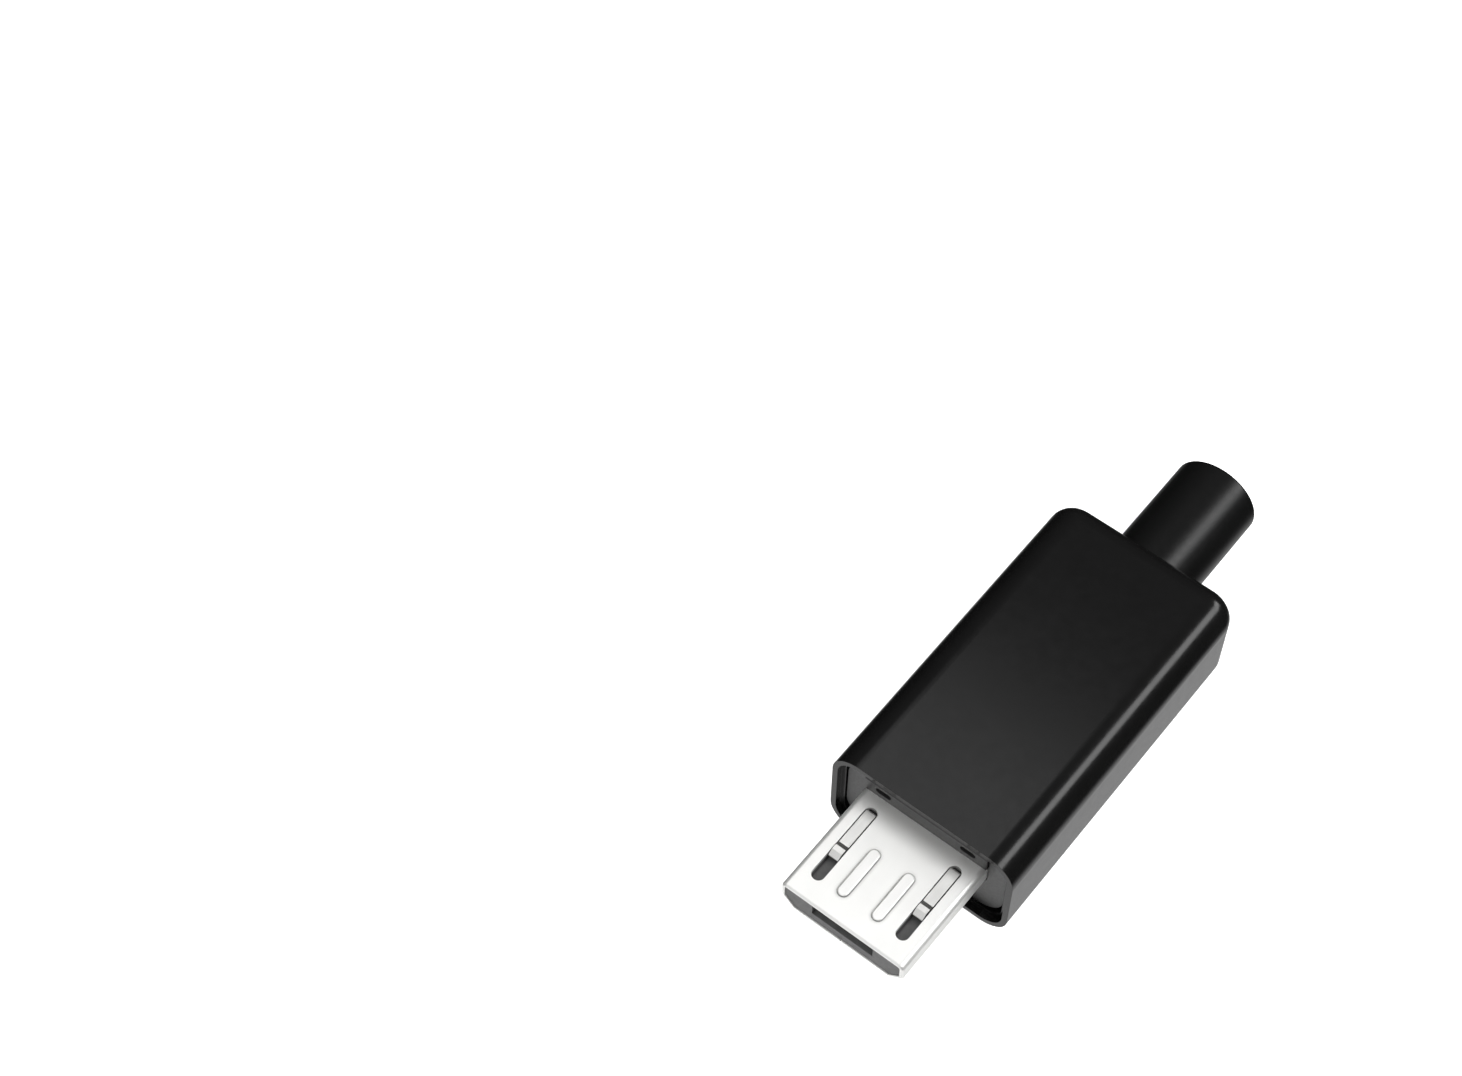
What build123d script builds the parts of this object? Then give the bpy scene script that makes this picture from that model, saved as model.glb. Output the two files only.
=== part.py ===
"""A solder-it-yourself micro-B plug: metal tip, moulded insert, sliding cover and cable strain relief.

All sizes are in millimetres. X runs across the plug, +Y runs along it from the metal tip to the
strain relief and +Z is up. The origin is under the middle of the plug, on the surface it lies on.
"""

from build123d import *
import os

os.makedirs("parts", exist_ok=True)

# Metal tip: a folded steel sheet with two latch slots, two pressed ribs and a seam underneath
TIP_WIDTH = 6.85
TIP_THICKNESS = 1.8
TIP_EXPOSED = 6.2
TIP_SEAT_DEPTH = 3.2
TIP_SHEET = 0.2
TIP_LOWER_CHAMFER = 0.7
TIP_UPPER_RADIUS = 0.3
TIP_FRONT_CHAMFER = 0.08
LATCH_SLOT_WIDTH = 0.66
LATCH_SLOT_LENGTH = 4.55
LATCH_SLOT_SETBACK = 0.62
LATCH_SPACING = 4.74
RIB_WIDTH = 0.58
RIB_LENGTH = 2.85
RIB_HEIGHT = 0.12
RIB_EDGE_RADIUS = 0.08
RIB_SPACING = 1.93
RIB_SETBACK = 2.25
SEAM_WIDTH = 0.06
SEAM_KEY_WIDTH = 1.1
SEAM_KEY_LENGTH = 1.6
SEAM_KEY_FLARE = 0.25

# Spring latches: a flat arm with a hook, bent down into a rolled root
LATCH_WIDTH = 0.54
LATCH_STRIP = 0.2
LATCH_FRONT_GAP = 1.42
LATCH_HOOK_HEIGHT = 0.12
LATCH_HOOK_LENGTH = 0.8
LATCH_ROOT_RADIUS = 0.2
LATCH_ROOT_DEPTH = 0.65
LATCH_ROOT_SETBACK = 0.27
LATCH_ROOT_CLEARANCE = 0.04
LATCH_PRESS_ROOM = 0.3

# Contacts: flat stamped strips that fan out from the tip to the solder pads
CONTACT_STRIP = 0.2
CONTACT_PITCH = 0.65
CONTACT_WIDTH = 0.32
CONTACT_SETBACK = 0.9
CONTACT_CROWN_HEIGHT = 0.12
CONTACT_CROWN_LENGTH = 0.9
PAD_PITCH = 1.65
PAD_WIDTH = 1.1
PAD_OVERHANG = 0.15
FAN_OUT_LENGTH = 1.4
PAD_RISE = 1.3

# Contact carrier: the insulator inside the tip, widening behind it into the solder tray
TONGUE_CAVITY_SIDE = 0.24
TONGUE_CAVITY_DEPTH = 5.0
CARRIER_FLOOR = 0.55
CARRIER_RECESS = 0.05
TRAY_EDGE = 0.475
TRAY_THICKNESS = 1.6
TRAY_EXPOSED = 2.5
TRAY_GROOVE_DEPTH = 0.3

# Nose cap: the ring round the tip, with two snap arms that reach back along the insert
CAP_RECESS = 0.45
CAP_DEPTH = 3.2
CAP_TOP_WALL = 0.3
CAP_ARM_LENGTH = 2.5
CAP_ARM_THICKNESS = 0.775
CAP_SLOT_NOTCH_WIDTH = 0.85
CAP_SLOT_NOTCH_DEPTH = 0.15
CAP_HOOK_REACH = 0.9
CAP_HOOK_LENGTH = 0.7
CAP_HOOK_HEIGHT = 0.8

# Insert housing: the moulded body that carries the tip
HOUSING_LENGTH = 5.4
HOUSING_SIDE_WALL = 0.9
HOUSING_CORE_WALL = 0.25
HOUSING_FLOOR = 1.85
INSERT_UPPER_RADIUS = 1.2
INSERT_LOWER_RADIUS = 1.4
COLLAR_RECESS = 0.3
COLLAR_HEIGHT = 1.0
COLLAR_BEVEL = 0.15
COLLAR_WINDOW_WIDTH = 0.85
COLLAR_WINDOW_HEIGHT = 0.36
COLLAR_WINDOW_DEPTH = 0.6
REAR_BLOCK_LENGTH = 1.2
REAR_BLOCK_SIDE = 0.3
REAR_BLOCK_FLOOR = 0.8
TOP_WINDOW_WIDTH = 0.7
TOP_WINDOW_LENGTH = 2.3
TOP_WINDOW_FOOT_REACH = 0.5
TOP_WINDOW_FOOT_LENGTH = 1.2
TOP_WINDOW_DEPTH = 0.7
TOP_WINDOW_SIDE_INSET = 0.75
TOP_WINDOW_REAR_INSET = 0.3

# Snap barbs on the cap's arms and on the housing's sides
BARB_REACH = 0.28
BARB_LENGTH = 1.3
BARB_HEIGHT = 1.6
BARB_CAP_SETBACK = 2.1
BARB_HOUSING_SETBACK = 1.4
BARB_RELIEF_SLIT = 0.25

# Cover: one moulded tube, open at the mouth and closed by a rear wall with a hole
COVER_WALL = 0.55
COVER_REAR_WALL = 1.2
COVER_EDGE_RADIUS = 1.5
COVER_REAR_RADIUS = 1.1
MOUTH_REBATE = 0.25
MOUTH_REBATE_DEPTH = 0.35
WIRE_ROOM = 3.5
STOP_RIB_REACH = 0.3
STOP_RIB_LENGTH = 0.5

# Strain relief: a hollow tube whose cross-shaped flange is held behind the cover's rear wall
CABLE_BORE = 3.3
RELIEF_WALL = 0.6
RELIEF_EXPOSED = 6.3
RELIEF_END_RADIUS = 0.2
FLANGE_THICKNESS = 1.0
FLANGE_LIP = 0.95
FLANGE_TAB_HEIGHT = 2.2

# Clearances
SLIP = 0.05
SEAT = 0.02
FLANGE_PLAY = 0.1

# Widths, from the solder tray and the tip outward
SIDES = (-1, 1)
TONGUE_CAVITY_WIDTH = 4 * CONTACT_PITCH + CONTACT_WIDTH + 2 * TONGUE_CAVITY_SIDE
TRAY_WIDTH = 3 * PAD_PITCH + PAD_WIDTH + 2 * TRAY_EDGE
HOUSING_CORE_WIDTH = TIP_WIDTH + 2 * HOUSING_CORE_WALL
ARMS_WIDTH = HOUSING_CORE_WIDTH + 2 * SEAT + 2 * CAP_ARM_THICKNESS
INSERT_WIDTH = max(ARMS_WIDTH, TRAY_WIDTH + 2 * HOUSING_SIDE_WALL)
CAVITY_WIDTH = INSERT_WIDTH + 2 * SLIP
COVER_WIDTH = CAVITY_WIDTH + 2 * COVER_WALL
CAP_ARM_INNER = INSERT_WIDTH / 2 - CAP_ARM_THICKNESS
LATCH_X = LATCH_SPACING / 2
RIB_X = RIB_SPACING / 2

# Heights, from the surface that the cover lies on upward
INSERT_BOTTOM = COVER_WALL + SLIP
TIP_BOTTOM = INSERT_BOTTOM + HOUSING_FLOOR
TIP_TOP = TIP_BOTTOM + TIP_THICKNESS
COLLAR_TOP = TIP_TOP + COLLAR_HEIGHT
INSERT_TOP = COLLAR_TOP + SLIP + CAP_TOP_WALL
COVER_HEIGHT = INSERT_TOP + SLIP + COVER_WALL
COVER_CENTRE_HEIGHT = COVER_HEIGHT / 2
CAVITY_HEIGHT = COVER_HEIGHT - 2 * COVER_WALL
CAVITY_RADIUS = COVER_EDGE_RADIUS - COVER_WALL
CONTACT_TOP = TIP_BOTTOM + TIP_SHEET + SEAT + CARRIER_FLOOR
CONTACT_BOTTOM = CONTACT_TOP - CONTACT_STRIP
PAD_BOTTOM = CONTACT_BOTTOM + PAD_RISE
PAD_TOP = PAD_BOTTOM + CONTACT_STRIP
TRAY_BOTTOM = PAD_BOTTOM - TRAY_THICKNESS
LATCH_ROOT_HEIGHT = TIP_TOP - LATCH_ROOT_DEPTH

# Strain relief and flange, which fit the cover's cavity
RELIEF_DIAMETER = CABLE_BORE + 2 * RELIEF_WALL
FLANGE_WIDTH = RELIEF_DIAMETER + 2 * FLANGE_LIP
FLANGE_HEIGHT = CAVITY_HEIGHT - 2 * FLANGE_PLAY
FLANGE_SPAN = CAVITY_WIDTH - 2 * FLANGE_PLAY

# The cover is as long as what it holds
INSERT_LENGTH = CAP_DEPTH + SEAT + HOUSING_LENGTH + REAR_BLOCK_LENGTH + TRAY_EXPOSED
COVER_LENGTH = CAP_RECESS + INSERT_LENGTH + WIRE_ROOM + FLANGE_THICKNESS + COVER_REAR_WALL
OVERALL_LENGTH = TIP_EXPOSED - COLLAR_RECESS + COVER_LENGTH + RELIEF_EXPOSED

# Stations along the plug, from the tip's front edge to the end of the strain relief
TIP_FRONT_Y = -OVERALL_LENGTH / 2
COLLAR_Y = TIP_FRONT_Y + TIP_EXPOSED
MOUTH_Y = COLLAR_Y - COLLAR_RECESS
CAP_Y = MOUTH_Y + CAP_RECESS
CAP_RING_END_Y = CAP_Y + CAP_DEPTH
CAP_ARM_END_Y = CAP_RING_END_Y + CAP_ARM_LENGTH
CAP_BARB_Y = CAP_Y + BARB_CAP_SETBACK
HOUSING_Y = CAP_RING_END_Y + SEAT
HOUSING_END_Y = HOUSING_Y + HOUSING_LENGTH
HOUSING_BARB_Y = HOUSING_END_Y - BARB_HOUSING_SETBACK
REAR_BLOCK_END_Y = HOUSING_END_Y + REAR_BLOCK_LENGTH
TIP_SHELL_END_Y = HOUSING_Y + TIP_SEAT_DEPTH
TRAY_Y = TIP_SHELL_END_Y + SEAT
CONTACT_RAMP_Y = TRAY_Y + SEAT + CONTACT_STRIP
CONTACT_RAMP_END_Y = CONTACT_RAMP_Y + PAD_RISE
PAD_Y = CONTACT_RAMP_END_Y + FAN_OUT_LENGTH
TRAY_END_Y = REAR_BLOCK_END_Y + TRAY_EXPOSED
FLANGE_Y = TRAY_END_Y + WIRE_ROOM
FLANGE_END_Y = FLANGE_Y + FLANGE_THICKNESS
COVER_REAR_Y = FLANGE_END_Y + COVER_REAR_WALL
RELIEF_END_Y = COVER_REAR_Y + RELIEF_EXPOSED
LATCH_SLOT_END_Y = COLLAR_Y - LATCH_SLOT_SETBACK
LATCH_SLOT_FRONT_Y = LATCH_SLOT_END_Y - LATCH_SLOT_LENGTH
LATCH_ROOT_Y = LATCH_SLOT_END_Y - LATCH_ROOT_SETBACK
LATCH_ARM_FRONT_Y = LATCH_SLOT_FRONT_Y + LATCH_FRONT_GAP
RIB_CENTRE_Y = COLLAR_Y - RIB_SETBACK - RIB_LENGTH / 2


def across(y):
    """The plane across the plug at one station, with X to the right and the height as its Y."""
    return Plane.XZ.offset(-y)


def insert_outline():
    """The section shared by the nose cap and the housing, rounder below than above.

    No corner is sharper than the cover's cavity, so that the insert always slides in.
    """
    least_radius = CAVITY_RADIUS - SLIP
    with BuildSketch() as outline:
        with Locations((0, COVER_CENTRE_HEIGHT)):
            Rectangle(INSERT_WIDTH, INSERT_TOP - INSERT_BOTTOM)
        fillet(outline.vertices().group_by(Axis.Y)[-1], max(INSERT_UPPER_RADIUS, least_radius))
        fillet(outline.vertices().group_by(Axis.Y)[0], max(INSERT_LOWER_RADIUS, least_radius))
    return outline.sketch


def tip_outline(margin):
    """The tip's section grown by a margin: square shoulders above and two chamfers below."""
    half = TIP_WIDTH / 2 + margin
    top = TIP_TOP + margin
    bottom = TIP_BOTTOM - margin
    # A 45 degree chamfer grows by this share of the margin, so that the wall stays even
    chamfer_size = TIP_LOWER_CHAMFER + margin * (2 - 2**0.5)
    with BuildSketch() as outline:
        with BuildLine():
            Polyline(
                (-half, top),
                (half, top),
                (half, bottom + chamfer_size),
                (half - chamfer_size, bottom),
                (-half + chamfer_size, bottom),
                (-half, bottom + chamfer_size),
                close=True,
            )
        make_face()
        upper_radius = TIP_UPPER_RADIUS + margin
        fillet(outline.vertices().group_by(Axis.Y)[-1], max(upper_radius, 0.05))
    return outline.sketch


def contact_profile(has_pad):
    """One contact from the side: crown, blade and, if it has a pad, the ramp up to the tray."""
    front_y = TIP_FRONT_Y + CONTACT_SETBACK
    crown_y = front_y + CONTACT_CROWN_LENGTH
    # Bends at 45 degrees keep the strip's thickness when the upper line starts this much sooner
    bend_shift = CONTACT_STRIP * (2**0.5 - 1)
    lower = [(front_y, CONTACT_BOTTOM), (CONTACT_RAMP_Y - bend_shift, CONTACT_BOTTOM)]
    upper = [(CONTACT_RAMP_Y - bend_shift, CONTACT_TOP)]
    if has_pad:
        lower = [
            (front_y, CONTACT_BOTTOM),
            (CONTACT_RAMP_Y, CONTACT_BOTTOM),
            (CONTACT_RAMP_END_Y, PAD_BOTTOM),
            (CONTACT_RAMP_END_Y + CONTACT_STRIP, PAD_BOTTOM),
        ]
        upper = [
            (CONTACT_RAMP_END_Y + CONTACT_STRIP, PAD_TOP),
            (CONTACT_RAMP_END_Y - bend_shift, PAD_TOP),
            (CONTACT_RAMP_Y - bend_shift, CONTACT_TOP),
        ]
    crown = [
        (crown_y + CONTACT_CROWN_LENGTH / 2, CONTACT_TOP),
        (crown_y + CONTACT_CROWN_LENGTH / 6, CONTACT_TOP + CONTACT_CROWN_HEIGHT),
        (crown_y - CONTACT_CROWN_LENGTH / 6, CONTACT_TOP + CONTACT_CROWN_HEIGHT),
        (crown_y - CONTACT_CROWN_LENGTH / 2, CONTACT_TOP),
        (front_y, CONTACT_TOP),
    ]
    with BuildSketch() as profile:
        with BuildLine():
            Polyline(*lower, *upper, *crown, close=True)
        make_face()
    return profile.sketch


def pad_outline(pin_x, pad_x):
    """The rear of one contact seen from above: the leg that fans out, and the solder pad."""
    half = CONTACT_WIDTH / 2
    with BuildSketch() as outline:
        with BuildLine():
            Polyline(
                (pin_x - half, CONTACT_RAMP_END_Y),
                (pin_x + half, CONTACT_RAMP_END_Y),
                (pad_x + half, PAD_Y),
                (pad_x - half, PAD_Y),
                close=True,
            )
        make_face()
        pad_end_y = TRAY_END_Y + PAD_OVERHANG
        with Locations((pad_x, (PAD_Y + pad_end_y) / 2)):
            Rectangle(PAD_WIDTH, pad_end_y - PAD_Y)
    return outline.sketch


def barb_outline(front_y):
    """A snap barb seen from above on the right side: a steep front and a long ramp behind it."""
    face_x = INSERT_WIDTH / 2
    with BuildSketch() as outline:
        with BuildLine():
            Polyline(
                (face_x - BARB_REACH, front_y),
                (face_x + BARB_REACH, front_y),
                (face_x, front_y + BARB_LENGTH),
                (face_x - BARB_REACH, front_y + BARB_LENGTH),
                close=True,
            )
        make_face()
    return outline.sketch


# Cover

with BuildPart() as outer_shell:
    with BuildSketch(across(MOUTH_Y)):
        with Locations((0, COVER_CENTRE_HEIGHT)):
            RectangleRounded(COVER_WIDTH, COVER_HEIGHT, COVER_EDGE_RADIUS)
    extrude(amount=-COVER_LENGTH)
    fillet(outer_shell.faces().sort_by(Axis.Y)[-1].edges(), COVER_REAR_RADIUS)
    with BuildSketch(across(MOUTH_Y)):
        with Locations((0, COVER_CENTRE_HEIGHT)):
            RectangleRounded(CAVITY_WIDTH, CAVITY_HEIGHT, CAVITY_RADIUS)
    extrude(amount=-(COVER_LENGTH - COVER_REAR_WALL), mode=Mode.SUBTRACT)
    # The rebate that thins the wall at the mouth
    with BuildSketch(across(MOUTH_Y)):
        with Locations((0, COVER_CENTRE_HEIGHT)):
            RectangleRounded(
                CAVITY_WIDTH + 2 * MOUTH_REBATE,
                CAVITY_HEIGHT + 2 * MOUTH_REBATE,
                CAVITY_RADIUS + MOUTH_REBATE,
            )
    extrude(amount=-MOUTH_REBATE_DEPTH, mode=Mode.SUBTRACT)
    # The hole that the strain relief passes through
    with BuildSketch(across(FLANGE_END_Y)):
        with Locations((0, COVER_CENTRE_HEIGHT)):
            Circle(RELIEF_DIAMETER / 2 + SLIP)
    extrude(amount=-COVER_REAR_WALL, mode=Mode.SUBTRACT)
    # Pockets in the side walls, which the barbs snap into
    for barb_y in (CAP_BARB_Y, HOUSING_BARB_Y):
        with BuildSketch(Plane.XY.offset(COVER_CENTRE_HEIGHT)):
            pocket_width = CAVITY_WIDTH + 2 * BARB_REACH
            with Locations((0, barb_y + BARB_LENGTH / 2)):
                Rectangle(pocket_width, BARB_LENGTH + 2 * SLIP)
        extrude(amount=BARB_HEIGHT / 2 + SLIP, both=True, mode=Mode.SUBTRACT)
    # Ribs on the side walls, which keep the flange from sliding forward
    for side in SIDES:
        with BuildSketch(Plane.XY.offset(COVER_CENTRE_HEIGHT)):
            wall_x = side * CAVITY_WIDTH / 2
            rib_y = FLANGE_Y - FLANGE_PLAY
            with BuildLine():
                Polyline(
                    (wall_x, rib_y - 2 * STOP_RIB_LENGTH),
                    (wall_x - side * STOP_RIB_REACH, rib_y - STOP_RIB_LENGTH),
                    (wall_x - side * STOP_RIB_REACH, rib_y),
                    (wall_x, rib_y),
                    close=True,
                )
            make_face()
        extrude(amount=FLANGE_TAB_HEIGHT / 2, both=True)
outer_shell.part.label = "outer_shell"
export_step(outer_shell.part, "parts/outer_shell.step")


# Nose cap

with BuildPart() as nose_cap:
    with BuildSketch(across(CAP_Y)):
        add(insert_outline())
        add(tip_outline(SLIP), mode=Mode.SUBTRACT)
        # The slot's upper part lets the collar through, with two shallow notches in its top edge
        slot_height = COLLAR_HEIGHT + TIP_UPPER_RADIUS + SLIP
        with Locations((0, COLLAR_TOP + SLIP - slot_height / 2)):
            Rectangle(TIP_WIDTH + 2 * SLIP, slot_height, mode=Mode.SUBTRACT)
        for side in SIDES:
            with Locations((side * LATCH_X, COLLAR_TOP + SLIP)):
                Rectangle(CAP_SLOT_NOTCH_WIDTH, 2 * CAP_SLOT_NOTCH_DEPTH, mode=Mode.SUBTRACT)
    extrude(amount=-CAP_DEPTH)
    # Snap arms, which keep the ring's outer outline and have flat inner faces
    with BuildSketch(across(CAP_RING_END_Y)):
        add(insert_outline())
        with Locations((0, COVER_CENTRE_HEIGHT)):
            Rectangle(2 * CAP_ARM_INNER, COVER_HEIGHT, mode=Mode.SUBTRACT)
    extrude(amount=-CAP_ARM_LENGTH)
    # A barb outside each arm, between two relief slits, and a hook inside its end
    with BuildSketch(Plane.XY.offset(COVER_CENTRE_HEIGHT)):
        add(barb_outline(CAP_BARB_Y))
        mirror(about=Plane.YZ)
    extrude(amount=BARB_HEIGHT / 2, both=True)
    for side in SIDES:
        slit_x = side * INSERT_WIDTH / 2
        slit_y = CAP_BARB_Y + BARB_LENGTH / 2
        slit_rise = (BARB_HEIGHT + BARB_RELIEF_SLIT) / 2
        with Locations(*[(slit_x, slit_y, COVER_CENTRE_HEIGHT + up * slit_rise) for up in SIDES]):
            Box(2 * BARB_REACH, BARB_LENGTH, BARB_RELIEF_SLIT, mode=Mode.SUBTRACT)
        hook_x = side * (CAP_ARM_INNER - CAP_HOOK_REACH / 2)
        hook_y = CAP_ARM_END_Y - CAP_HOOK_LENGTH / 2
        with Locations((hook_x, hook_y, TIP_BOTTOM - CAP_HOOK_HEIGHT)):
            Box(CAP_HOOK_REACH, CAP_HOOK_LENGTH, CAP_HOOK_HEIGHT)
nose_cap.part.label = "nose_cap"
export_step(nose_cap.part, "parts/nose_cap.step")


# Contacts

PIN_XS = [(pin - 2) * CONTACT_PITCH for pin in range(5)]
PAD_XS = [-1.5 * PAD_PITCH, -0.5 * PAD_PITCH, 0.5 * PAD_PITCH, None, 1.5 * PAD_PITCH]
contacts = []
for number, (pin_x, pad_x) in enumerate(zip(PIN_XS, PAD_XS), start=1):
    with BuildPart() as contact:
        with BuildSketch(Plane.YZ.offset(pin_x)):
            add(contact_profile(pad_x is not None))
        extrude(amount=CONTACT_WIDTH / 2, both=True)
        if pad_x is not None:
            with BuildSketch(Plane.XY.offset(PAD_BOTTOM)):
                add(pad_outline(pin_x, pad_x))
            extrude(amount=CONTACT_STRIP)
    contact.part.label = f"contact_{number}"
    export_step(contact.part, f"parts/contact_{number}.step")
    contacts.append(contact.part)


# Metal tip

with BuildPart() as tip_shell:
    with BuildSketch(across(TIP_FRONT_Y)):
        add(tip_outline(0))
    extrude(amount=-(TIP_SHELL_END_Y - TIP_FRONT_Y))
    chamfer(tip_shell.faces().sort_by(Axis.Y)[0].edges(), TIP_FRONT_CHAMFER)
    # The pressed ribs stand above the sheet, which is hollow below them
    with BuildSketch(Plane.XY.offset(TIP_TOP)):
        with Locations((-RIB_X, RIB_CENTRE_Y), (RIB_X, RIB_CENTRE_Y)):
            SlotOverall(RIB_LENGTH, RIB_WIDTH, rotation=90)
    extrude(amount=RIB_HEIGHT)
    fillet(tip_shell.faces().filter_by(Plane.XY).group_by(Axis.Z)[-1].edges(), RIB_EDGE_RADIUS)
    with BuildSketch(across(TIP_FRONT_Y)):
        add(tip_outline(-TIP_SHEET))
    extrude(amount=-(TIP_SHELL_END_Y - TIP_FRONT_Y), mode=Mode.SUBTRACT)
    with BuildSketch(Plane.XY.offset(TIP_TOP - TIP_SHEET)):
        with Locations((-RIB_X, RIB_CENTRE_Y), (RIB_X, RIB_CENTRE_Y)):
            SlotOverall(RIB_LENGTH - 2 * RIB_HEIGHT, RIB_WIDTH - 2 * RIB_HEIGHT, rotation=90)
    extrude(amount=RIB_HEIGHT, mode=Mode.SUBTRACT)
    # The slots that the latches stand in
    with BuildSketch(Plane.XY.offset(TIP_TOP - TIP_SHEET)):
        slot_y = (LATCH_SLOT_FRONT_Y + LATCH_SLOT_END_Y) / 2
        with Locations((-LATCH_X, slot_y), (LATCH_X, slot_y)):
            SlotOverall(LATCH_SLOT_LENGTH, LATCH_SLOT_WIDTH, rotation=90)
    extrude(amount=TIP_SHEET, mode=Mode.SUBTRACT)
    # The seam where the folded sheet meets itself underneath, with one dovetail key on its way
    with BuildSketch(Plane.XY.offset(TIP_BOTTOM)):
        key_y = COLLAR_Y - TIP_EXPOSED / 2
        with BuildLine():
            Polyline(
                (0, TIP_FRONT_Y),
                (0, key_y - SEAM_KEY_LENGTH / 2 + SEAM_KEY_FLARE),
                (SEAM_KEY_WIDTH, key_y - SEAM_KEY_LENGTH / 2),
                (SEAM_KEY_WIDTH, key_y + SEAM_KEY_LENGTH / 2),
                (0, key_y + SEAM_KEY_LENGTH / 2 - SEAM_KEY_FLARE),
                (0, TIP_SHELL_END_Y),
            )
        trace(line_width=SEAM_WIDTH)
    extrude(amount=TIP_SHEET, mode=Mode.SUBTRACT)
tip_shell.part.label = "tip_shell"
export_step(tip_shell.part, "parts/tip_shell.step")


# Contact carrier

with BuildPart() as contact_carrier:
    with BuildSketch(across(TIP_FRONT_Y + CARRIER_RECESS)):
        add(tip_outline(-TIP_SHEET - SEAT))
    extrude(amount=-(TRAY_Y - TIP_FRONT_Y - CARRIER_RECESS))
    # The solder tray behind the tip, with its top level with the undersides of the pads
    with BuildSketch(Plane.XY.offset(PAD_BOTTOM)):
        with Locations((0, (TRAY_Y + TRAY_END_Y) / 2)):
            Rectangle(TRAY_WIDTH, TRAY_END_Y - TRAY_Y)
    extrude(amount=-TRAY_THICKNESS)
    # The cavity that takes the socket's tongue
    with BuildSketch(Plane.XY.offset(CONTACT_TOP)):
        with Locations((0, TIP_FRONT_Y + TONGUE_CAVITY_DEPTH / 2)):
            Rectangle(TONGUE_CAVITY_WIDTH, TONGUE_CAVITY_DEPTH)
    extrude(amount=TIP_THICKNESS, mode=Mode.SUBTRACT)
    for side in SIDES:
        # Room for the latch arm to be pressed down into, and the half-round seat of its root
        with BuildSketch(Plane.XY.offset(TIP_TOP - LATCH_STRIP - LATCH_PRESS_ROOM)):
            with Locations((side * LATCH_X, (LATCH_SLOT_FRONT_Y + LATCH_ROOT_Y) / 2)):
                Rectangle(LATCH_SLOT_WIDTH, LATCH_ROOT_Y - LATCH_SLOT_FRONT_Y)
        extrude(amount=TIP_THICKNESS, mode=Mode.SUBTRACT)
        seat_radius = LATCH_ROOT_RADIUS + LATCH_ROOT_CLEARANCE
        with BuildSketch(Plane.YZ.offset(side * LATCH_X)):
            with Locations((LATCH_ROOT_Y, LATCH_ROOT_HEIGHT)):
                Circle(seat_radius)
            with Locations((LATCH_ROOT_Y, (LATCH_ROOT_HEIGHT + TIP_TOP) / 2)):
                Rectangle(2 * seat_radius, TIP_TOP - LATCH_ROOT_HEIGHT)
        extrude(amount=LATCH_SLOT_WIDTH / 2, both=True, mode=Mode.SUBTRACT)
    # Passages for the contacts, and the grooves between the solder pads
    for contact_part in contacts:
        add(contact_part, mode=Mode.SUBTRACT)
    with BuildSketch(Plane.XY.offset(PAD_BOTTOM)):
        with Locations(*[(groove * PAD_PITCH, (PAD_Y + TRAY_END_Y) / 2) for groove in (-1, 0, 1)]):
            Rectangle(PAD_PITCH - PAD_WIDTH, TRAY_END_Y - PAD_Y)
    extrude(amount=-TRAY_GROOVE_DEPTH, mode=Mode.SUBTRACT)
contact_carrier.part.label = "contact_carrier"
export_step(contact_carrier.part, "parts/contact_carrier.step")


# Insert housing

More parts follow.
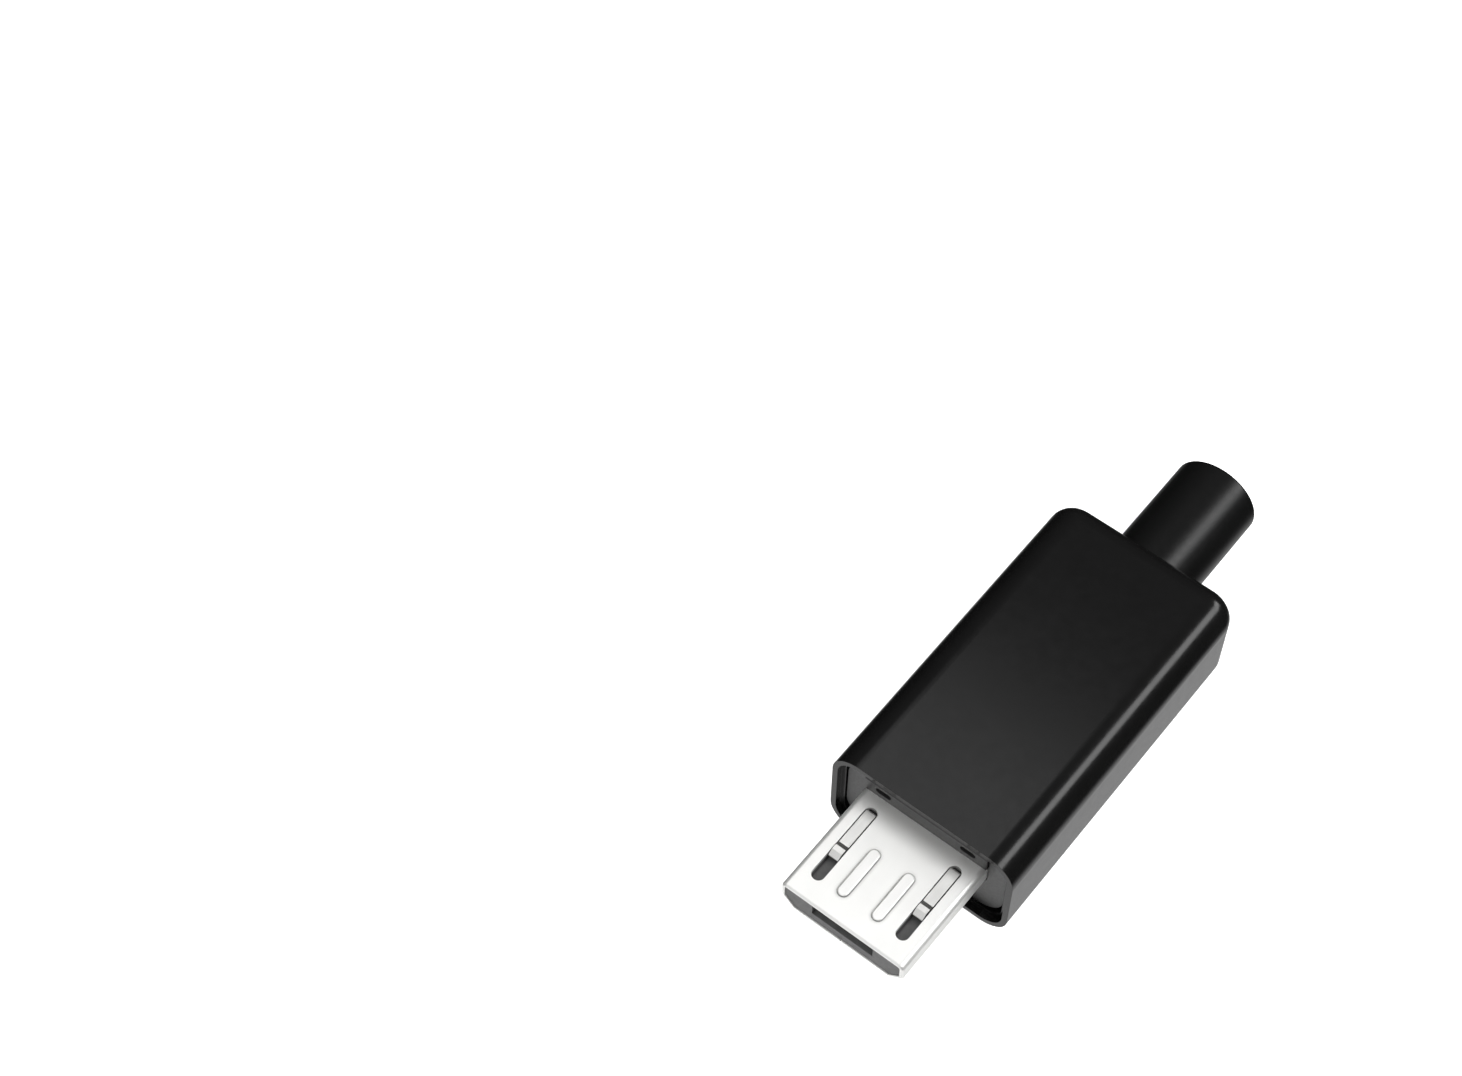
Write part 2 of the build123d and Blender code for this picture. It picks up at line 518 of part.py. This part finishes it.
with BuildPart() as housing:
    with BuildSketch(across(HOUSING_Y)):
        add(insert_outline())
    extrude(amount=-HOUSING_LENGTH)
    # The narrower rear block that the solder tray comes out of
    with BuildSketch(across(HOUSING_END_Y)):
        block_bottom = TRAY_BOTTOM - REAR_BLOCK_FLOOR
        with Locations((0, (block_bottom + INSERT_TOP) / 2)):
            Rectangle(TRAY_WIDTH + 2 * REAR_BLOCK_SIDE, INSERT_TOP - block_bottom)
    extrude(amount=-REAR_BLOCK_LENGTH)
    # The collar that lies on the metal tip and shows in the cover's mouth, bevelled along its top
    with BuildSketch(Plane.YZ):
        with BuildLine():
            Polyline(
                (COLLAR_Y, TIP_TOP),
                (COLLAR_Y, COLLAR_TOP - COLLAR_BEVEL),
                (COLLAR_Y + COLLAR_BEVEL, COLLAR_TOP),
                (HOUSING_Y, COLLAR_TOP),
                (HOUSING_Y, TIP_TOP),
                close=True,
            )
        make_face()
    extrude(amount=TIP_WIDTH / 2, both=True)
    with BuildSketch(across(COLLAR_Y)):
        with Locations(*[(side * LATCH_X, (TIP_TOP + COLLAR_TOP) / 2) for side in SIDES]):
            SlotOverall(COLLAR_WINDOW_WIDTH, COLLAR_WINDOW_HEIGHT)
    extrude(amount=-COLLAR_WINDOW_DEPTH, mode=Mode.SUBTRACT)
    # Pockets for the cap's arms and their hooks
    with BuildSketch(across(HOUSING_Y)):
        with Locations((0, COVER_CENTRE_HEIGHT)):
            Rectangle(INSERT_WIDTH, COVER_HEIGHT)
            Rectangle(HOUSING_CORE_WIDTH, COVER_HEIGHT, mode=Mode.SUBTRACT)
    extrude(amount=-(CAP_ARM_END_Y - HOUSING_Y + SLIP), mode=Mode.SUBTRACT)
    for side in SIDES:
        notch_width = CAP_HOOK_REACH + SEAT
        notch_x = side * (CAP_ARM_INNER - notch_width / 2)
        notch_y = CAP_ARM_END_Y - CAP_HOOK_LENGTH / 2
        with Locations((notch_x, notch_y, TIP_BOTTOM - CAP_HOOK_HEIGHT)):
            Box(notch_width, CAP_HOOK_LENGTH + 2 * SLIP, CAP_HOOK_HEIGHT + 2 * SLIP, mode=Mode.SUBTRACT)
    # The way through for the tip, and a wider one behind it for the solder tray and contacts
    with BuildSketch(across(HOUSING_Y)):
        add(tip_outline(SEAT))
    extrude(amount=-(TRAY_Y - HOUSING_Y), mode=Mode.SUBTRACT)
    with BuildSketch(across(TRAY_Y)):
        with Locations((0, (TRAY_BOTTOM + PAD_TOP) / 2)):
            Rectangle(TRAY_WIDTH + 2 * SEAT, PAD_TOP - TRAY_BOTTOM + 2 * SEAT)
    extrude(amount=-(REAR_BLOCK_END_Y - TRAY_Y), mode=Mode.SUBTRACT)
    # L-shaped windows in the top, near the rear corners
    for side in SIDES:
        window_x = side * (INSERT_WIDTH / 2 - TOP_WINDOW_SIDE_INSET - TOP_WINDOW_WIDTH / 2)
        window_end_y = HOUSING_END_Y - TOP_WINDOW_REAR_INSET
        foot_x = window_x - side * TOP_WINDOW_FOOT_REACH / 2
        with BuildSketch(Plane.XY.offset(INSERT_TOP)):
            with Locations((window_x, window_end_y - TOP_WINDOW_LENGTH / 2)):
                Rectangle(TOP_WINDOW_WIDTH, TOP_WINDOW_LENGTH)
            with Locations((foot_x, window_end_y - TOP_WINDOW_FOOT_LENGTH / 2)):
                Rectangle(TOP_WINDOW_WIDTH + TOP_WINDOW_FOOT_REACH, TOP_WINDOW_FOOT_LENGTH)
        extrude(amount=-TOP_WINDOW_DEPTH, mode=Mode.SUBTRACT)
    # Barbs behind the cap's arms
    with BuildSketch(Plane.XY.offset(COVER_CENTRE_HEIGHT)):
        add(barb_outline(HOUSING_BARB_Y))
        mirror(about=Plane.YZ)
    extrude(amount=BARB_HEIGHT / 2, both=True)
housing.part.label = "housing"
export_step(housing.part, "parts/housing.step")


# Spring latches

for name, side in (("latch_left", -1), ("latch_right", 1)):
    with BuildPart() as latch:
        with BuildSketch(Plane.YZ.offset(side * LATCH_X)):
            with Locations((LATCH_ROOT_Y, LATCH_ROOT_HEIGHT)):
                Circle(LATCH_ROOT_RADIUS)
            with BuildLine():
                crest_front_y = LATCH_ARM_FRONT_Y + LATCH_HOOK_LENGTH * 0.35
                crest_rear_y = LATCH_ARM_FRONT_Y + LATCH_HOOK_LENGTH * 0.7
                heel_y = LATCH_ROOT_Y + LATCH_STRIP / 2
                Polyline(
                    (heel_y, LATCH_ROOT_HEIGHT),
                    (heel_y, TIP_TOP - LATCH_STRIP / 2),
                    (heel_y - LATCH_STRIP / 2, TIP_TOP),
                    (LATCH_ARM_FRONT_Y + LATCH_HOOK_LENGTH, TIP_TOP),
                    (crest_rear_y, TIP_TOP + LATCH_HOOK_HEIGHT),
                    (crest_front_y, TIP_TOP + LATCH_HOOK_HEIGHT),
                    (LATCH_ARM_FRONT_Y, TIP_TOP - LATCH_STRIP / 2),
                    (LATCH_ARM_FRONT_Y, TIP_TOP - LATCH_STRIP),
                    (heel_y - LATCH_STRIP, TIP_TOP - LATCH_STRIP),
                    (heel_y - LATCH_STRIP, LATCH_ROOT_HEIGHT),
                    close=True,
                )
            make_face()
        extrude(amount=LATCH_WIDTH / 2, both=True)
    latch.part.label = name
    export_step(latch.part, f"parts/{name}.step")


# Strain relief

with BuildPart() as strain_relief:
    with BuildSketch(across(FLANGE_Y)):
        with Locations((0, COVER_CENTRE_HEIGHT)):
            Rectangle(FLANGE_WIDTH, FLANGE_HEIGHT)
            Rectangle(FLANGE_SPAN, FLANGE_TAB_HEIGHT)
    extrude(amount=-FLANGE_THICKNESS)
    with BuildSketch(across(FLANGE_END_Y)):
        with Locations((0, COVER_CENTRE_HEIGHT)):
            Circle(RELIEF_DIAMETER / 2)
    extrude(amount=-(RELIEF_END_Y - FLANGE_END_Y))
    fillet(strain_relief.faces().sort_by(Axis.Y)[-1].edges(), RELIEF_END_RADIUS)
    with BuildSketch(across(FLANGE_Y)):
        with Locations((0, COVER_CENTRE_HEIGHT)):
            Circle(CABLE_BORE / 2)
    extrude(amount=-(RELIEF_END_Y - FLANGE_Y), mode=Mode.SUBTRACT)
strain_relief.part.label = "strain_relief"
export_step(strain_relief.part, "parts/strain_relief.step")
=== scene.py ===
"""Looks of a micro-B plug: gloss black moulded cover, plated steel tip, strain relief and studio.

Every length is in metres and every place is in the part's own frame: X runs across the plug, +Y
from the metal tip to the strain relief, +Z up, with the origin under the middle of the cover.
"""

import logging
import math
from dataclasses import dataclass
from enum import Enum
from typing import Any

import bpy
from mathutils import Matrix, Vector

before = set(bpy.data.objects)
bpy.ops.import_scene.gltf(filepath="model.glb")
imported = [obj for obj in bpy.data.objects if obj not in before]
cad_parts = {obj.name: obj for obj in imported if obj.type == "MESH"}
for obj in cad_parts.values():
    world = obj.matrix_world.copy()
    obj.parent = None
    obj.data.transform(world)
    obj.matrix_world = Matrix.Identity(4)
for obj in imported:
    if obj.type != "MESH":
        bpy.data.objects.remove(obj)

LOG = logging.getLogger("micro_b_plug")
MILLIMETRE = 0.001

Colour = tuple[float, float, float, float]
Place = tuple[float, float, float]
Span = tuple[float, float]

WHITE: Colour = (1.0, 1.0, 1.0, 1.0)
BLACK: Colour = (0.0, 0.0, 0.0, 1.0)

# The sRGB curve: a straight part near black, then a power
SRGB_STRAIGHT_END = 0.04045
SRGB_STRAIGHT_SLOPE = 12.92
SRGB_OFFSET = 0.055
SRGB_POWER = 2.4

# Detail of the slow drift and of the fine grain, and how rough the grain's small features are
DRIFT_DETAIL = 3.0
GRAIN_DETAIL = 4.0
GRAIN_BREAKUP = 0.6
# Values between which a noise texture mostly stays
NOISE_SPAN: Span = (0.3, 0.7)
# Openness at which the painted shade in a crease is darkest, and at which it ends
CREASE_SPAN: Span = (0.5, 0.92)
CREASE_SAMPLES = 8

# Corners closer than this, in metres, are one corner
WELD_REACH = 1e-6
# Edges that turn by more degrees than this are softened, in this many strips
SOFT_EDGE_ANGLE = 35
SOFT_EDGE_STRIPS = 3


def linear(hex_colour: str) -> Colour:
    """Turns an sRGB hex colour into the linear one that shaders take.

    Args:
        hex_colour: Six hex digits, with or without a leading hash.

    Returns:
        Linear red, green and blue, and an alpha of 1.
    """
    digits = hex_colour.lstrip("#")
    red, green, blue = (
        channel / SRGB_STRAIGHT_SLOPE
        if channel <= SRGB_STRAIGHT_END
        else ((channel + SRGB_OFFSET) / (1 + SRGB_OFFSET)) ** SRGB_POWER
        for channel in (int(digits[i : i + 2], 16) / 255 for i in (0, 2, 4))
    )
    return (red, green, blue, 1.0)


def pattern_scale(size_mm: float) -> float:
    """The texture scale that makes one feature this many millimetres wide."""
    return 1.0 / (size_mm * MILLIMETRE)


def add_node(
    tree: bpy.types.NodeTree,
    kind: str,
    inputs: dict[str | int, Any] | None = None,
    **settings: Any,
) -> bpy.types.Node:
    """Adds one node with its settings and its inputs.

    Args:
        tree: The node tree that takes the node.
        kind: Blender's name for the node.
        inputs: Values or sockets by input name or number. A socket is linked and a value is set.
        settings: Attributes of the node itself.

    Returns:
        The new node.
    """
    node = tree.nodes.new(kind)
    for name, value in settings.items():
        setattr(node, name, value)
    for name, value in (inputs or {}).items():
        if isinstance(value, bpy.types.NodeSocket):
            tree.links.new(value, node.inputs[name])
        else:
            node.inputs[name].default_value = value
    return node


def add_range(
    tree: bpy.types.NodeTree,
    value: bpy.types.NodeSocket,
    span: Span,
    result: Span = (0.0, 1.0),
    curve: str = "LINEAR",
) -> bpy.types.NodeSocket:
    """Adds a node that carries a value from one span over to another.

    Args:
        tree: The node tree that takes the node.
        value: The value to carry over.
        span: The span that it comes from.
        result: The span that it is carried to.
        curve: Blender's name for the kind of curve between the ends.

    Returns:
        The socket that gives the result.
    """
    node = add_node(
        tree,
        "ShaderNodeMapRange",
        {
            "Value": value,
            "From Min": span[0],
            "From Max": span[1],
            "To Min": result[0],
            "To Max": result[1],
        },
        interpolation_type=curve,
    )
    return node.outputs["Result"]


def plain_material(name: str, sockets: dict[str, Any]) -> bpy.types.Material:
    """Builds a material from values on the shader's own sockets.

    Args:
        name: The material's name.
        sockets: Values by the name of the socket.

    Returns:
        The new material.
    """
    made = bpy.data.materials.new(name)
    made.use_nodes = True
    shader = made.node_tree.nodes["Principled BSDF"]
    for socket, value in sockets.items():
        shader.inputs[socket].default_value = value
    return made


def studio_sheet(
    name: str,
    corners: list[Place],
    faces: list[tuple[int, ...]],
    material: bpy.types.Material,
) -> bpy.types.Object:
    """Builds a thin object of the studio.

    Args:
        name: Its name.
        corners: Its corners.
        faces: The corners of each face, by number.
        material: Its material.

    Returns:
        The new object, linked to the scene.
    """
    mesh = bpy.data.meshes.new(name)
    mesh.from_pydata(corners, [], faces)
    mesh.materials.append(material)
    made = bpy.data.objects.new(name, mesh)
    bpy.context.collection.objects.link(made)
    return made


class Grain(Enum):
    """The way that the fine texture of a surface runs."""

    EVEN = (1.0, 1.0, 1.0)
    ALONG_PLUG = (1.0, 0.04, 1.0)


@dataclass(frozen=True)
class Finish:
    """What every finish shares: a base colour that drifts a little, a grain and a roughness.

    Attributes:
        name: The material's name, after the real substance and how its surface was made.
        dark: The darker base colour, sRGB hex.
        light: The lighter base colour, sRGB hex.
        drift_mm: Width of the slow changes of colour.
        grain_mm: Width of one feature of the fine texture.
        grain: The way that the fine texture runs.
        grain_height_mm: Height of the fine texture.
        roughness: Lowest and highest roughness.
        metallic: 0 for plastic, up to 1 for metal.
        ior: Index of refraction of a plastic. A metal keeps the shader's own.
        crease_mm: How far the painted shade reaches out of a crease.
        crease_shade: The share of the colour that the painted shade leaves in the depth of a
            crease.
    """

    name: str
    dark: str
    light: str
    drift_mm: float
    grain_mm: float
    grain: Grain
    grain_height_mm: float
    roughness: Span
    metallic: float = 0.0
    ior: float = 1.5
    crease_mm: float = 0.15
    crease_shade: float = 0.25

    def material(self) -> bpy.types.Material:
        """Builds the material.

        Returns:
            The new material, with its colour, roughness and bump from procedural textures.
        """
        made = bpy.data.materials.new(self.name)
        made.use_nodes = True
        tree = made.node_tree
        shader = tree.nodes["Principled BSDF"]
        place = add_node(tree, "ShaderNodeTexCoord").outputs["Object"]
        stretched = add_node(
            tree, "ShaderNodeMapping", {"Vector": place, "Scale": self.grain.value}
        )
        grain = add_node(
            tree,
            "ShaderNodeTexNoise",
            {
                "Vector": stretched.outputs["Vector"],
                "Scale": pattern_scale(self.grain_mm),
                "Detail": GRAIN_DETAIL,
                "Roughness": GRAIN_BREAKUP,
            },
        ).outputs["Fac"]
        bump = add_node(
            tree,
            "ShaderNodeBump",
            {
                "Height": grain,
                "Strength": 1.0,
                "Distance": self.grain_height_mm * MILLIMETRE,
            },
        )
        roughness = add_range(tree, grain, NOISE_SPAN, self.roughness)
        tree.links.new(self.colour(tree, place), shader.inputs["Base Color"])
        tree.links.new(roughness, shader.inputs["Roughness"])
        tree.links.new(bump.outputs["Normal"], shader.inputs["Normal"])
        shader.inputs["Metallic"].default_value = self.metallic
        if not self.metallic:
            shader.inputs["IOR"].default_value = self.ior
        return made

    def colour(
        self, tree: bpy.types.NodeTree, place: bpy.types.NodeSocket
    ) -> bpy.types.NodeSocket:
        """Adds the drifting base colour, which is darker in the creases.

        Args:
            tree: The material's node tree.
            place: The socket that gives the place on the object.

        Returns:
            The socket that gives the colour.
        """
        drift = add_node(
            tree,
            "ShaderNodeTexNoise",
            {"Vector": place, "Scale": pattern_scale(self.drift_mm), "Detail": DRIFT_DETAIL},
        )
        # A Mix node keeps its colours in inputs 6 and 7, and in output 2, behind other kinds
        mixed = add_node(
            tree,
            "ShaderNodeMix",
            {"Factor": drift.outputs["Fac"], 6: linear(self.dark), 7: linear(self.light)},
            data_type="RGBA",
        )
        # Painted shade: the colour is darkened in the creases, most where a point is most closed
        # in
        crease = add_node(
            tree,
            "ShaderNodeAmbientOcclusion",
            {"Distance": self.crease_mm * MILLIMETRE},
            samples=CREASE_SAMPLES,
            only_local=True,
        )
        left = add_range(tree, crease.outputs["AO"], CREASE_SPAN, (self.crease_shade, 1.0))
        painted_crease_shade = add_node(
            tree, "ShaderNodeVectorMath", {0: mixed.outputs[2], "Scale": left}, operation="SCALE"
        )
        return painted_crease_shade.outputs["Vector"]


# Gloss ABS from a polished mould: nearly black, with soft reflections and a faint orange peel
GLOSS_MOULDED_ABS = Finish(
    name="gloss_moulded_abs",
    dark="#0b0b0b",
    light="#121212",
    drift_mm=6.0,
    grain_mm=0.5,
    grain=Grain.EVEN,
    grain_height_mm=0.0001,
    roughness=(0.17, 0.22),
    ior=1.31,
)

# Nylon from a spark-eroded mould: a greyer, duller black, with a fine even grain
SATIN_MOULDED_NYLON = Finish(
    name="satin_moulded_nylon",
    dark="#232323",
    light="#2f2f2f",
    drift_mm=3.0,
    grain_mm=0.12,
    grain=Grain.EVEN,
    grain_height_mm=0.002,
    roughness=(0.34, 0.48),
    ior=1.52,
)

# Soft PVC moulded round a pin: dark, with a waxy sheen along its length
MOULDED_SOFT_PVC = Finish(
    name="moulded_soft_pvc",
    dark="#080808",
    light="#0f0f0f",
    drift_mm=4.0,
    grain_mm=0.3,
    grain=Grain.EVEN,
    grain_height_mm=0.0003,
    roughness=(0.3, 0.36),
    ior=1.29,
)

# Glass-filled moulding: matt grey, speckled by the fibres at its skin
GLASS_FILLED_MOULDING = Finish(
    name="glass_filled_moulding",
    dark="#4c4c4c",
    light="#666666",
    drift_mm=0.3,
    grain_mm=0.08,
    grain=Grain.EVEN,
    grain_height_mm=0.003,
    roughness=(0.5, 0.65),
    ior=1.55,
)

# Satin nickel over drawn steel sheet: nearly white, with a milky bloom that softens what it
# mirrors, a faint grain along the way it was rolled, and painted shade in dark lines round the
# pressed ribs
NICKEL_PLATED_SHEET = Finish(
    name="nickel_plated_sheet",
    dark="#e9e9e7",
    light="#f6f6f4",
    drift_mm=2.5,
    grain_mm=0.06,
    grain=Grain.ALONG_PLUG,
    grain_height_mm=0.00008,
    roughness=(0.42, 0.5),
    metallic=0.7,
    crease_mm=0.2,
    crease_shade=0.0,
)

# Rolled spring steel: greyer than the sheet round it, with a tighter shine
ROLLED_SPRING_STEEL = Finish(
    name="rolled_spring_steel",
    dark="#c2c2c0",
    light="#cdcdcb",
    drift_mm=1.5,
    grain_mm=0.05,
    grain=Grain.ALONG_PLUG,
    grain_height_mm=0.0008,
    roughness=(0.3, 0.42),
    metallic=1.0,
)

# Tin over stamped strip: a soft silver with cloudy patches
TINNED_STRIP = Finish(
    name="tinned_strip",
    dark="#c9c9c7",
    light="#e2e2e0",
    drift_mm=0.9,
    grain_mm=0.05,
    grain=Grain.ALONG_PLUG,
    grain_height_mm=0.001,
    roughness=(0.28, 0.4),
    metallic=1.0,
)


def dress(node_name: str, finish: bpy.types.Material, edge_mm: float) -> None:
    """Gives a solid of the model its finish and softens its edges.

    Args:
        node_name: The solid's name.
        finish: Its material.
        edge_mm: Width of the soft edge that the tool or mould leaves.
    """
    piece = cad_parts[node_name]
    piece.data.materials.clear()
    piece.data.materials.append(finish)
    weld = piece.modifiers.new("weld", "WELD")
    weld.merge_threshold = WELD_REACH
    edge = piece.modifiers.new("edge", "BEVEL")
    edge.width = edge_mm * MILLIMETRE
    edge.segments = SOFT_EDGE_STRIPS
    edge.limit_method = "ANGLE"
    edge.angle_limit = math.radians(SOFT_EDGE_ANGLE)
    edge.harden_normals = True
    edge.use_clamp_overlap = True
    flat = piece.modifiers.new("flat", "WEIGHTED_NORMAL")
    flat.mode = "FACE_AREA"
    flat.keep_sharp = True
    LOG.info("%s: %s", node_name, finish.name)


@dataclass
class CoverAndRelief:
    """The sliding cover and the strain relief behind it."""

    cover_edge_mm: float = 0.08
    relief_edge_mm: float = 0.05

    def build(self) -> None:
        """Dresses the cover and the strain relief."""
        dress("outer_shell", GLOSS_MOULDED_ABS.material(), self.cover_edge_mm)
        dress("strain_relief", MOULDED_SOFT_PVC.material(), self.relief_edge_mm)


@dataclass
class Insert:
    """The moulded insert: the nose cap and the housing."""

    edge_mm: float = 0.05

    def build(self) -> None:
        """Dresses the nose cap and the housing."""
        nylon = SATIN_MOULDED_NYLON.material()
        for name in ("nose_cap", "housing"):
            dress(name, nylon, self.edge_mm)


@dataclass
class MetalTip:
    """The steel tip with its latches, and the carrier and contacts inside it."""

    sheet_edge_mm: float = 0.035
    strip_edge_mm: float = 0.02
    contacts: int = 5

    def build(self) -> None:
        """Dresses the tip, the latches, the carrier and the contacts."""
        dress("tip_shell", NICKEL_PLATED_SHEET.material(), self.sheet_edge_mm)
        spring = ROLLED_SPRING_STEEL.material()
        for name in ("latch_left", "latch_right"):
            dress(name, spring, self.strip_edge_mm)
        dress("contact_carrier", GLASS_FILLED_MOULDING.material(), self.strip_edge_mm)
        tin = TINNED_STRIP.material()
        for number in range(1, self.contacts + 1):
            dress(f"contact_{number}", tin, self.strip_edge_mm)


@dataclass(frozen=True)
class SoftBox:
    """One soft light.

    Attributes:
        name: The light's name.
        place: Where it stands.
        aim: The point that it faces.
        size: Its length along the plug and its width.
        watts: Its power.
    """

    name: str
    place: Place
    aim: Place
    size: Span
    watts: float

    def build(self) -> None:
        """Adds the light, which shows in reflections but not to the camera."""
        data = bpy.data.lights.new(self.name, "AREA")
        data.shape = "RECTANGLE"
        data.size, data.size_y = self.size
        data.energy = self.watts
        lamp = bpy.data.objects.new(self.name, data)
        place = Vector(self.place)
        back = (place - Vector(self.aim)).normalized()
        across = Vector((0.0, 1.0, 0.0)).cross(back).normalized()
        turn = Matrix((back.cross(across), -across, back)).transposed().to_4x4()
        lamp.matrix_world = Matrix.Translation(place) @ turn
        lamp.visible_camera = False
        bpy.context.collection.objects.link(lamp)
        LOG.info("light %s", self.name)


LIGHTS = (
    # Whitens the metal tip and lifts the front of the cover, which both mirror it
    SoftBox(
        name="overhead",
        place=(-0.036, -0.004, 0.12),
        aim=(-0.036, -0.004, 0.0),
        size=(0.12, 0.064),
        watts=0.05,
    ),
    # Opens the shade on the tip beside the collar, and the mouth of the cover
    SoftBox(
        name="front_fill",
        place=(0.0, -0.14, 0.1),
        aim=(0.0, -0.012, 0.004),
        size=(0.16, 0.26),
        watts=0.13,
    ),
    # Draws the line of light along the cover's right shoulder and along the strain relief
    SoftBox(
        name="right_strip",
        place=(0.107, 0.085, 0.117),
        aim=(0.004, 0.0, 0.006),
        size=(0.22, 0.055),
        watts=0.32,
    ),
)


@dataclass(frozen=True)
class Surroundings:
    """What the gloss reflects: a dim room, and a bright table close under the plug.

    Heights and depths are the Z and Y of a direction, from -1 to 1.

    Attributes:
        table_heights: Where the table starts to show, and where it is full.
        table_depths: The front and the rear end of the table's change of brightness.
        table_glow: Its brightness at the front and at the rear, most in front of the metal tip.
        room_heights: The low and the high end of the room's change of brightness.
        room_glow: Its brightness low down and high up.
    """

    table_heights: Span = (-0.5, -0.78)
    table_depths: Span = (-0.45, 0.45)
    table_glow: Span = (1.15, 0.75)
    room_heights: Span = (-0.1, 0.9)
    room_glow: Span = (0.02, 0.22)

    def build(self) -> None:
        """Builds the world and gives it to the scene."""
        world = bpy.data.worlds.new("studio")
        world.use_nodes = True
        tree = world.node_tree
        way = add_node(tree, "ShaderNodeTexCoord").outputs["Generated"]
        parts = add_node(tree, "ShaderNodeSeparateXYZ", {"Vector": way})
        height, depth = parts.outputs["Z"], parts.outputs["Y"]
        table = add_range(tree, height, self.table_heights, curve="SMOOTHSTEP")
        front = add_range(tree, depth, self.table_depths, self.table_glow)
        pool = add_node(tree, "ShaderNodeMath", {0: table, 1: front}, operation="MULTIPLY")
        room = add_range(tree, height, self.room_heights, self.room_glow, "SMOOTHSTEP")
        both = add_node(tree, "ShaderNodeMath", {0: pool.outputs[0], 1: room})
        background = tree.nodes["Background"]
        tree.links.new(both.outputs[0], background.inputs["Strength"])
        background.inputs["Color"].default_value = WHITE
        bpy.context.scene.world = world
        bpy.context.scene.view_settings.view_transform = "Standard"


@dataclass(frozen=True)
class Studio:
    """A pale floor, soft light and the camera, at the photograph's viewing angle.

    Attributes:
        azimuth: Degrees that the camera stands round from straight in front of the tip.
        elevation: Degrees that it stands above the floor.
        right: How far it stands to its right of the middle.
        up: How far it stands above the middle, along its own up.
        distance: How far it stands from the middle.
        focal: Its focal length in pixels of the photograph.
        frame_width: The photograph's width in pixels.
        sensor: The width of its sensor in millimetres.
        clip: The nearest and the farthest that it sees.
        floor_half: Half the width of the floor and of the backdrop.
        floor_drop: How far the floor lies under the plug, so that the two never share a plane.
        floor_glow: How much the floor glows, so that shadows stay faint.
        wall_glow: How much the backdrop glows.
    """

    azimuth: float = 38.5705
    elevation: float = 56.7677
    right: float = -0.0145034
    up: float = 0.0095568
    distance: float = 0.1367273
    focal: float = 2841.8
    frame_width: float = 1462.0
    sensor: float = 36.0
    clip: Span = (0.001, 50.0)
    floor_half: float = 3.0
    floor_drop: float = 1e-5
    floor_glow: float = 0.92
    wall_glow: float = 1.1

    def camera(self) -> None:
        """Adds the camera and makes it the scene's."""
        azimuth, elevation = math.radians(self.azimuth), math.radians(self.elevation)
        back = Vector(
            (
                math.cos(elevation) * math.sin(azimuth),
                -math.cos(elevation) * math.cos(azimuth),
                math.sin(elevation),
            )
        )
        right = Vector((math.cos(azimuth), math.sin(azimuth), 0.0))
        upward = back.cross(right)
        data = bpy.data.cameras.new("camera")
        data.sensor_width = self.sensor
        data.lens = self.focal / self.frame_width * self.sensor
        data.clip_start, data.clip_end = self.clip
        lens = bpy.data.objects.new("camera", data)
        place = right * self.right + upward * self.up + back * self.distance
        turn = Matrix((right, upward, back)).transposed().to_4x4()
        lens.matrix_world = Matrix.Translation(place) @ turn
        bpy.context.collection.objects.link(lens)
        bpy.context.scene.camera = lens

    def corners(self, height: float) -> list[Place]:
        """The four corners of a level square as wide as the floor, at a height."""
        half = self.floor_half
        signs = ((-1, -1), (1, -1), (1, 1), (-1, 1))
        return [(x * half, y * half, height) for x, y in signs]

    def floor(self) -> None:
        """Adds the floor, a pale matt sheet that the gloss doesn't mirror."""
        paper = plain_material(
            "matt_white_sweep",
            {
                "Base Color": linear("#f2f2f2"),
                "Roughness": 0.9,
                "Specular IOR Level": 0.0,
                "Emission Color": WHITE,
                "Emission Strength": self.floor_glow,
            },
        )
        sheet = studio_sheet("studio_floor", self.corners(-self.floor_drop), [(0, 1, 2, 3)], paper)
        sheet.visible_glossy = False

    def backdrop(self) -> None:
        """Adds a white wall all round and overhead, which only the camera sees."""
        glow = plain_material(
            "lit_white_wall",
            {
                "Base Color": BLACK,
                "Emission Color": WHITE,
                "Emission Strength": self.wall_glow,
            },
        )
        corners = self.corners(-self.floor_half) + self.corners(self.floor_half)
        faces = [(0, 1, 5, 4), (1, 2, 6, 5), (2, 3, 7, 6), (3, 0, 4, 7), (4, 5, 6, 7)]
        wall = studio_sheet("studio_backdrop", corners, faces, glow)
        wall.visible_diffuse = wall.visible_glossy = wall.visible_shadow = False

    def build(self) -> None:
        """Builds the floor, the backdrop, the surroundings, the lights and the camera."""
        self.floor()
        self.backdrop()
        Surroundings().build()
        for light in LIGHTS:
            light.build()
        self.camera()


def main() -> None:
    """Builds the plug's looks and its studio."""
    logging.basicConfig(level=logging.INFO, format="%(name)s %(message)s")
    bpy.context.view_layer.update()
    CoverAndRelief().build()
    Insert().build()
    MetalTip().build()
    Studio().build()


if __name__ == "__main__":
    main()
